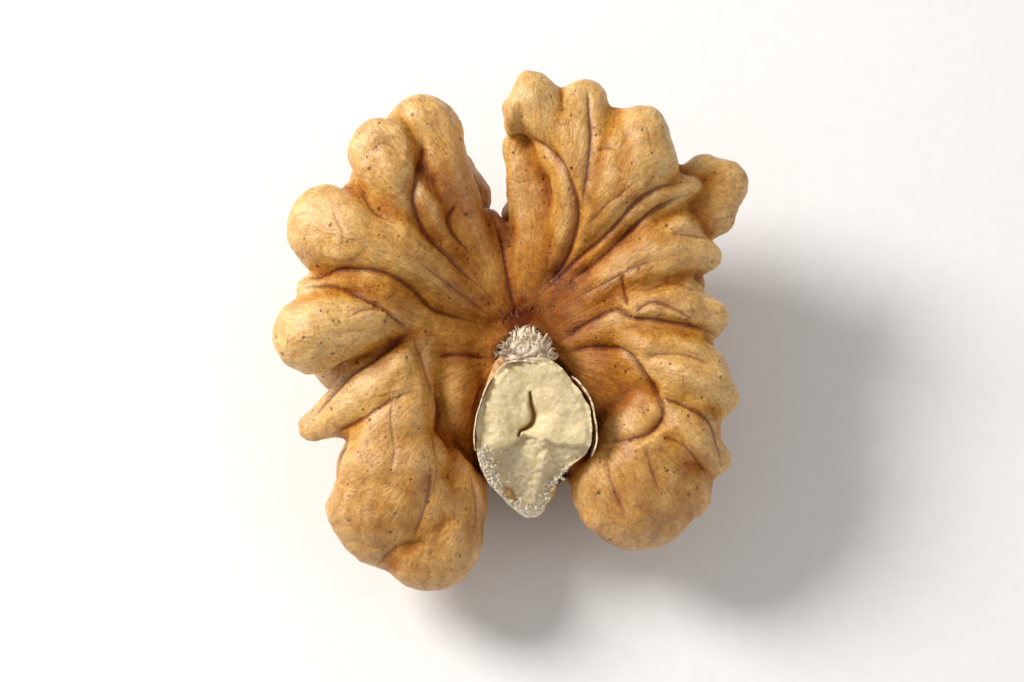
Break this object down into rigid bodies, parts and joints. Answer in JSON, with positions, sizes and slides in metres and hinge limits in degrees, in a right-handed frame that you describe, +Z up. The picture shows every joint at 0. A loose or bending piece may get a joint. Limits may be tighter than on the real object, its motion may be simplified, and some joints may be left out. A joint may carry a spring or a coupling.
{
  "type": "walnut kernel half",
  "caption": "Shelled walnut half lying on its rounded back: two lobed wings of folded tan kernel joined by a keel, with the broken cream stub and fibrous crown of the isthmus between them.",
  "frame": {"origin": "under the middle of the kernel half, on the surface it lies on", "axes": "+Z up, out of the inner face; +Y along the suture to the blunt end; -Y to the pointed tip, towards which the inner face leans; +X across the wings"},
  "size_m": [0.029, 0.0304, 0.0166],
  "materials": {
    "kernel_skin": "satin tan seed coat with orange-brown valleys and fine veins, matt cream where it is broken"
  },
  "bodies": {
    "root": {"walnut_half": "kernel_skin"}
  },
  "joints": []
}
